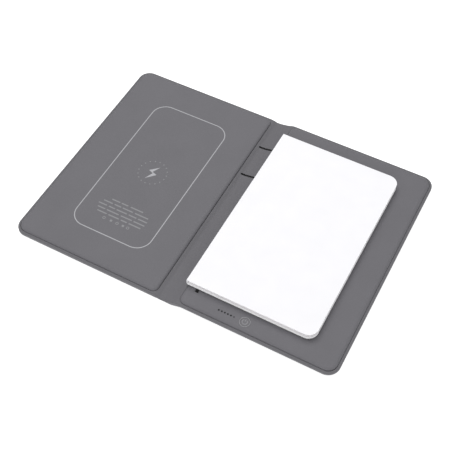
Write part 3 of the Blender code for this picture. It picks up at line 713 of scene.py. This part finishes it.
def strap_hole(y, outward):
    """Slot for one end of the strap; outward is 1 at the far end and -1 at the near one."""
    y_range = sorted((y + outward * 0.3, y - outward * 1.3))
    outline = rounded(STRAP_X - STRAP_HALF - 0.3, STRAP_X + STRAP_HALF + 0.3, *y_range, 0.3, 0.3, 4)
    hole = bmesh.new()
    plate(hole, outline, HOLE_LOW, HOLE_HIGH)
    return hole


pad_leather("charging_pad_leather", LEFT, "charging_panel", "charging_pad")
PAD_HOLES = [round_hole(LIGHT_X + n * LIGHT_PITCH, LIGHT_Y, LIGHT_HOLE_R, 24)
             for n in range(LIGHT_COUNT)]
PAD_HOLES.append(round_hole(BUTTON_X, BUTTON_Y, BUTTON_HOLE_R, 72))
PAD_HOLES += [strap_hole(STRAP_LOW.y, -1), strap_hole(STRAP_HIGH.y, 1)]
pad_leather("notebook_pad_leather", RIGHT, "battery_panel", "notebook_pad", PAD_HOLES)


# ------------------------------------------------------------------ print

INK_LOW, INK_TOP = LEFT_PAD_TOP - 0.02, LEFT_PAD_TOP + INK


def printed(name, bm, finish):
    make(name, bm, finish, "charging_panel")


def ink_line(bm, outer, inner):
    """Adds a closed line of ink between two outlines."""
    loft(bm, [level(outer, INK_LOW), level(outer, INK_TOP), level(inner, INK_TOP),
              level(inner, INK_LOW)], closed=True)


def phone_outline():
    x0, x1, y0, y1 = OUTLINE
    outlines = []
    for grow in (OUTLINE_WIDTH / 2, -OUTLINE_WIDTH / 2):
        r = OUTLINE_R + grow
        outlines.append(rounded(x0 - grow, x1 + grow, y0 - grow, y1 + grow, r, r, 20))
    bm = bmesh.new()
    ink_line(bm, *outlines)
    printed("phone_outline_print", bm, INK_PALE)


def coil_dots():
    bm = bmesh.new()
    for n in range(DOT_COUNT):
        a = 2 * math.pi * (n + 0.5) / DOT_COUNT
        x = COIL_MARK[0] + DOT_RING_R * math.cos(a)
        y = COIL_MARK[1] + DOT_RING_R * math.sin(a)
        disc(bm, x, y, [(DOT_R, INK_LOW), (DOT_R, INK_TOP)], 20)
    printed("coil_dots_print", bm, INK_SOFT)


def bolt():
    bm = bmesh.new()
    plate(bm, [(COIL_MARK[0] + x, COIL_MARK[1] + y) for x, y in BOLT], INK_LOW, INK_TOP)
    printed("bolt_print", bm, INK_PALE)


def small_print():
    bm = bmesh.new()
    for y, words in SMALL_PRINT:
        for x0, x1 in words:
            plate(bm, rounded(x0, x1, y - BAR_HALF, y + BAR_HALF, 0.4, 0.4, 3), INK_LOW, INK_TOP)
    printed("small_print_bars", bm, INK_SOFT)


def mark_row():
    """Rings and squares by turns."""
    bm = bmesh.new()
    for n, x in enumerate(MARK_XS):
        if n % 2:
            square = rounded(x - 1.1, x + 1.1, MARKS_Y - 1.1, MARKS_Y + 1.1, 0.3, 0.3, 3)
            plate(bm, square, INK_LOW, INK_TOP)
        else:
            ink_line(bm, circle(x, MARKS_Y, 1.5, 28), circle(x, MARKS_Y, 0.85, 28))
    printed("mark_row_print", bm, INK_SOFT)


phone_outline()
coil_dots()
bolt()
small_print()
mark_row()


# ------------------------------------------------------------------ lights and button

LENS_LOW = 6.6
CAP_TOP = BUTTON[1].z


def light_windows():
    """Six dark lenses in their holes, the last one paler, over one bar."""
    top = RIGHT_PAD_TOP
    lens = [(0.78, LENS_LOW), (0.78, top - 0.12), (0.7, top - 0.04), (0.4, top + 0.01)]
    for n in range(LIGHT_COUNT):
        bm = bmesh.new()
        disc(bm, LIGHT_X + n * LIGHT_PITCH, LIGHT_Y, lens, 24)
        last = n == LIGHT_COUNT - 1
        make(f"light_window_{n + 1}", bm, WINDOW_PALE if last else WINDOW,
             "battery_panel", ["light_guide"])
    bm = bmesh.new()
    plate(bm, rounded(PINS[0].x, PINS[1].x, PINS[0].y, PINS[1].y, 0.8, 0.8, 6), PINS[0].z,
          LENS_LOW - 0.05)
    make("light_guide_bar", bm, WINDOW, "battery_panel", ["light_guide"])


def button_ring():
    low, high = RING[0].z, RING[1].z
    outside = (RING[1].x - RING[0].x) / 2
    profile = (
        (4.02, low), (outside, low), (outside, high - 0.1), (outside - 0.06, high - 0.02),
        (outside - 0.18, high), (4.2, high), (4.08, high - 0.03), (4.02, high - 0.12),
    )
    bm = bmesh.new()
    loft(bm, [level(circle(BUTTON_X, BUTTON_Y, r, 72), z) for r, z in profile], closed=True)
    make("button_ring_satin", bm, RING_GREY, "battery_panel", ["button_ring"])


def button_cap():
    """Dished cap over a flange that keeps it in its ring."""
    low, flange = BUTTON[0].z, (BUTTON[1].x - BUTTON[0].x) / 2
    profile = (
        (flange, low), (flange, low + 0.25), (3.9, low + 0.25), (3.9, CAP_TOP - 0.28),
        (3.86, CAP_TOP - 0.14), (3.72, CAP_TOP - 0.04), (3.45, CAP_TOP), (3.1, CAP_TOP - 0.01),
        (2.2, CAP_TOP - 0.07), (1.2, CAP_TOP - 0.1), (0.5, CAP_TOP - 0.11),
    )
    bm = bmesh.new()
    disc(bm, BUTTON_X, BUTTON_Y, profile, 64)
    make("button_cap", bm, CAP, "button", ["power_button"])


def button_glyph():
    """Generic power sign: a circle open at the top, and a bar through the opening."""
    z0, z1 = CAP_TOP - 0.14, CAP_TOP - 0.015
    gap = math.radians(38)
    steps = 40
    turns = [math.pi / 2 + gap + (2 * math.pi - 2 * gap) * n / steps for n in range(steps + 1)]
    outer, inner = [[(BUTTON_X + r * math.cos(a), BUTTON_Y + r * math.sin(a)) for a in turns]
                    for r in (2.45, 1.9)]
    bar = rounded(BUTTON_X - 0.27, BUTTON_X + 0.27, BUTTON_Y + 0.35, BUTTON_Y + 2.6, 0.2, 0.2, 4)
    bm = bmesh.new()
    plate(bm, outer + list(reversed(inner)), z0, z1)
    plate(bm, bar, z0, z1)
    make("button_glyph", bm, INK_GLYPH, "button")


light_windows()
button_ring()
button_cap()
button_glyph()


# ------------------------------------------------------------------ strap and notebook

STRAP_Z = RIGHT_PAD_TOP + 0.32  # middle of the strap where it lies flat
STRAP_SECTION = ((-1.0, -0.35), (-0.9, -0.9), (0.9, -0.9), (1.0, -0.35), (1.0, 0.35),
                 (0.9, 0.9), (-0.9, 0.9), (-1.0, 0.35))
STRAP_HALF_THICK = 0.24
WRAP_LOW, WRAP_HIGH = BACK_TOP - 0.55, FRONT_LOW - 0.1
HINGE_R = 0.42


def strap_end(y, outward):
    """One end of the strap's path, as y and z: up out of its hole, over, and flat."""
    return [(y, 6.95), (y, STRAP_Z - 0.75), (y - outward * 0.1, STRAP_Z - 0.35),
            (y - outward * 0.38, STRAP_Z - 0.09), (y - outward * 0.85, STRAP_Z),
            (y - outward * 12.0, STRAP_Z)]


def strap():
    path = strap_end(STRAP_LOW.y + 0.25, -1) + list(reversed(strap_end(STRAP_HIGH.y - 0.25, 1)))
    loops = []
    for n, (y, z) in enumerate(path):
        before, after = path[max(n - 1, 0)], path[min(n + 1, len(path) - 1)]
        along = Vector((after[0] - before[0], after[1] - before[1])).normalized()
        across = Vector((-along.y, along.x)) * STRAP_HALF_THICK
        loops.append([(STRAP_X + STRAP_HALF * u, y + across.x * v, z + across.y * v)
                      for u, v in STRAP_SECTION])
    bm = bmesh.new()
    loft(bm, loops)
    make("notebook_strap_elastic", bm, ELASTIC, "battery_panel",
         ["notebook_strap"])


def book_loop(inset, z, start=None, corner_start=0.9):
    """The notebook's outline drawn in by an inset, from its spine or from another start."""
    x_start = BOOK_LOW.x + inset if start is None else start
    return level(rounded(x_start, BOOK_HIGH.x - inset, BOOK_LOW.y + inset, BOOK_HIGH.y - inset,
                         corner_start, BOOK_CORNER - inset, 18), z)


def turned(low, high, edge, steps=5):
    """Insets and heights round the edge of a flat card with rounded edges."""
    turns = [math.pi / 2 * i / steps for i in range(steps + 1)]
    rings = [(edge * (1 - math.sin(a)), low + edge * (1 - math.cos(a))) for a in turns]
    rings += [(edge * (1 - math.cos(a)), high - edge * (1 - math.sin(a))) for a in turns]
    return [(edge * 2.2, low)] + rings + [(edge * 2.2, high)]


def book_back():
    """Back cover, with a groove for the strap under it, in card painted whiter than the front
    cover's so that its edge reads lighter.
    """
    bm = bmesh.new()
    loft(bm, [book_loop(w, z) for w, z in turned(BOOK_LOW.z, BACK_TOP, 0.62)])
    x0, x1 = STRAP_X - STRAP_HALF - 0.35, STRAP_X + STRAP_HALF + 0.35
    y0, y1 = BOOK_LOW.y - 2, BOOK_HIGH.y + 2
    groove = bmesh.new()
    plate(groove, [(x0, y0), (x1, y0), (x1, y1), (x0, y1)], BOOK_LOW.z - 1, BOOK_LOW.z + 0.62)
    back = make("notebook_back", bm, BACK_CARD_PAINTED_LIGHT, "battery_panel",
                ["notebook_back_cover"])
    carve(back, [groove], BACK_CARD_PAINTED_LIGHT)


def book_leaves():
    """Page block: leaves in thin bundles, each a hair in or out of the next."""
    base = BACK_TOP + 0.02
    pitch = (FRONT_LOW - 0.05 - base) / BUNDLES
    loops = []
    for n in range(BUNDLES):
        jitter = 0.07 * math.sin(n * 2.3) * math.cos(n * 0.9)
        for share, dip in ((0.0, 0.05), (0.18, 0.0), (0.82, 0.0), (1.0, 0.05)):
            if share == 0.0 and n:
                continue
            loops.append(book_loop(0.62 + jitter + dip, base + (n + share) * pitch, PAGE_START))
    bm = bmesh.new()
    loft(bm, loops)
    make("notebook_leaves", bm, PAGES, "battery_panel", ["notebook_pages"])


def book_first_page():
    outline = [(x, y) for x, y, z in book_loop(0.7, 0.0, PAGE_START + 0.1)]
    bm = bmesh.new()
    plate(bm, outline, FRONT_LOW - 0.045, FRONT_LOW - 0.02)
    make("notebook_first_page", bm, PAGE_FACE, "battery_panel")


def along_book(bm, profile, inset, end):
    """Runs an x and z profile along the notebook's spine, with a short length at each end."""
    y0, y1 = BOOK_LOW.y + inset, BOOK_HIGH.y - inset
    loft(bm, [[(x, y, z) for x, z in profile]
              for y in (y0, BOOK_LOW.y + end, BOOK_HIGH.y - end, y1)])


def book_spine_wrap():
    """Spine wrap: up from the back cover, stopping under the hinge."""
    x_out, x_in = BOOK_LOW.x, BOOK_LOW.x + SPINE_THICK
    profile = [(x_in, WRAP_LOW), (x_out + 0.02, WRAP_LOW), (x_out, WRAP_LOW + 0.3),
               (x_out, WRAP_HIGH - 0.3), (x_out + 0.05, WRAP_HIGH - 0.08),
               (x_out + 0.2, WRAP_HIGH), (x_in, WRAP_HIGH)]
    bm = bmesh.new()
    along_book(bm, profile, 0.03, 0.3)
    make("notebook_spine_wrap", bm, WHITE_CLOTH, "battery_panel",
         ["notebook_spine_tape"])


def book_hinge():
    """Cloth over the top of the spine."""
    x_out, top_z = BOOK_LOW.x, BOOK_HIGH.z
    turns = [math.pi / 2 * n / 8 for n in range(9)]
    arc = [(x_out + HINGE_R * (1 - math.sin(a)), top_z - HINGE_R * (1 - math.cos(a)))
           for a in turns]
    outer = [(HINGE_END - (HINGE_END - arc[0][0]) * k / 8, top_z) for k in range(8)] + arc
    outer.append((x_out, WRAP_HIGH - 0.05))
    inner = [(x_out + 0.18, WRAP_HIGH - 0.05), (x_out + 0.2, FRONT_LOW + 0.02)]
    inner += [(x_out + 0.3 + (HINGE_END - x_out - 0.3) * k / 8, FRONT_LOW + 0.12)
              for k in range(9)]
    bm = bmesh.new()
    along_book(bm, outer + inner, 0.0, 0.2)
    hinge = make("notebook_cloth_hinge", bm, WHITE_CARD, None)
    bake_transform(hinge)


def book_front():
    rings = turned(FRONT_LOW, BOOK_HIGH.z, 0.16, 4)
    bm = bmesh.new()
    loft(bm, [book_loop(w, z, HINGE_END + w * 0.2, 0.4) for w, z in rings])
    make("notebook_front", bm, WHITE_CARD, "notebook_cover",
         ["notebook_front_cover"])


strap()
book_back()
book_leaves()
book_first_page()
book_spine_wrap()
book_hinge()
book_front()


# ------------------------------------------------------------------ floor, light, camera

FLOOR_HALF = 6.0
FLOOR_Z = -0.0002  # a hair under the table plane, so that it doesn't meet the leather's base
FLOOR_GLOW = 0.75
WORLD_STRENGTH = 0.55
WHITE = (1.0, 1.0, 1.0, 1.0)

CAMERA_PLACE = (0.2271, -0.4253, 0.6376)
CAMERA_AIM = (0.00733, -0.0178, 0.0)
CAMERA_ROLL = math.radians(-0.17)


def white_floor():
    bm = bmesh.new()
    bmesh.ops.create_grid(bm, x_segments=2, y_segments=2, size=FLOOR_HALF)
    mesh = bpy.data.meshes.new("floor")
    bm.to_mesh(mesh)
    bm.free()
    paint = Shade("floor_white", Roughness=0.9, Specular_IOR_Level=0.1,
                  Emission_Color=WHITE, Emission_Strength=FLOOR_GLOW)
    grain = paint.noise(paint.place(False), 0.02, 2.0)
    base = paint.mix(grain, (0.6, 0.6, 0.6), (0.62, 0.62, 0.62))
    mesh.materials.append(paint.set(Base_Color=base))
    floor = bpy.data.objects.new("floor", mesh)
    bpy.context.scene.collection.objects.link(floor)
    floor.location.z = FLOOR_Z


def studio_world():
    world = bpy.data.worlds.new("studio")
    bpy.context.scene.world = world
    world.use_nodes = True
    background = world.node_tree.nodes["Background"]
    background.inputs["Color"].default_value = WHITE
    background.inputs["Strength"].default_value = WORLD_STRENGTH


def looking(name, data, place, aim):
    """A lamp or camera at one place, turned towards another."""
    obj = bpy.data.objects.new(name, data)
    bpy.context.scene.collection.objects.link(obj)
    obj.location = place
    obj.rotation_mode = "QUATERNION"
    obj.rotation_quaternion = (Vector(aim) - Vector(place)).to_track_quat("-Z", "Y")
    return obj


def area_light(name, place, size, watts):
    lamp = bpy.data.lights.new(name, "AREA")
    lamp.shape = "DISK"
    lamp.size, lamp.energy = size, watts
    looking(name, lamp, place, (0.0, 0.0, 0.0))


def set_camera():
    data = bpy.data.cameras.new("camera")
    data.sensor_width = 36.0
    data.lens = 70.83
    data.shift_x, data.shift_y = -0.0018, -0.0004
    data.clip_start, data.clip_end = 0.05, 50.0
    camera = looking("camera", data, CAMERA_PLACE, CAMERA_AIM)
    roll = Matrix.Rotation(CAMERA_ROLL, 4, "Z").to_quaternion()
    camera.rotation_quaternion = camera.rotation_quaternion @ roll
    bpy.context.scene.camera = camera


white_floor()
studio_world()
area_light("key", (-0.5, 0.6, 1.9), 1.8, 26.0)
area_light("fill", (0.6, -1.8, 0.9), 1.6, 12.0)
set_camera()
bpy.context.scene.view_settings.view_transform = "Standard"
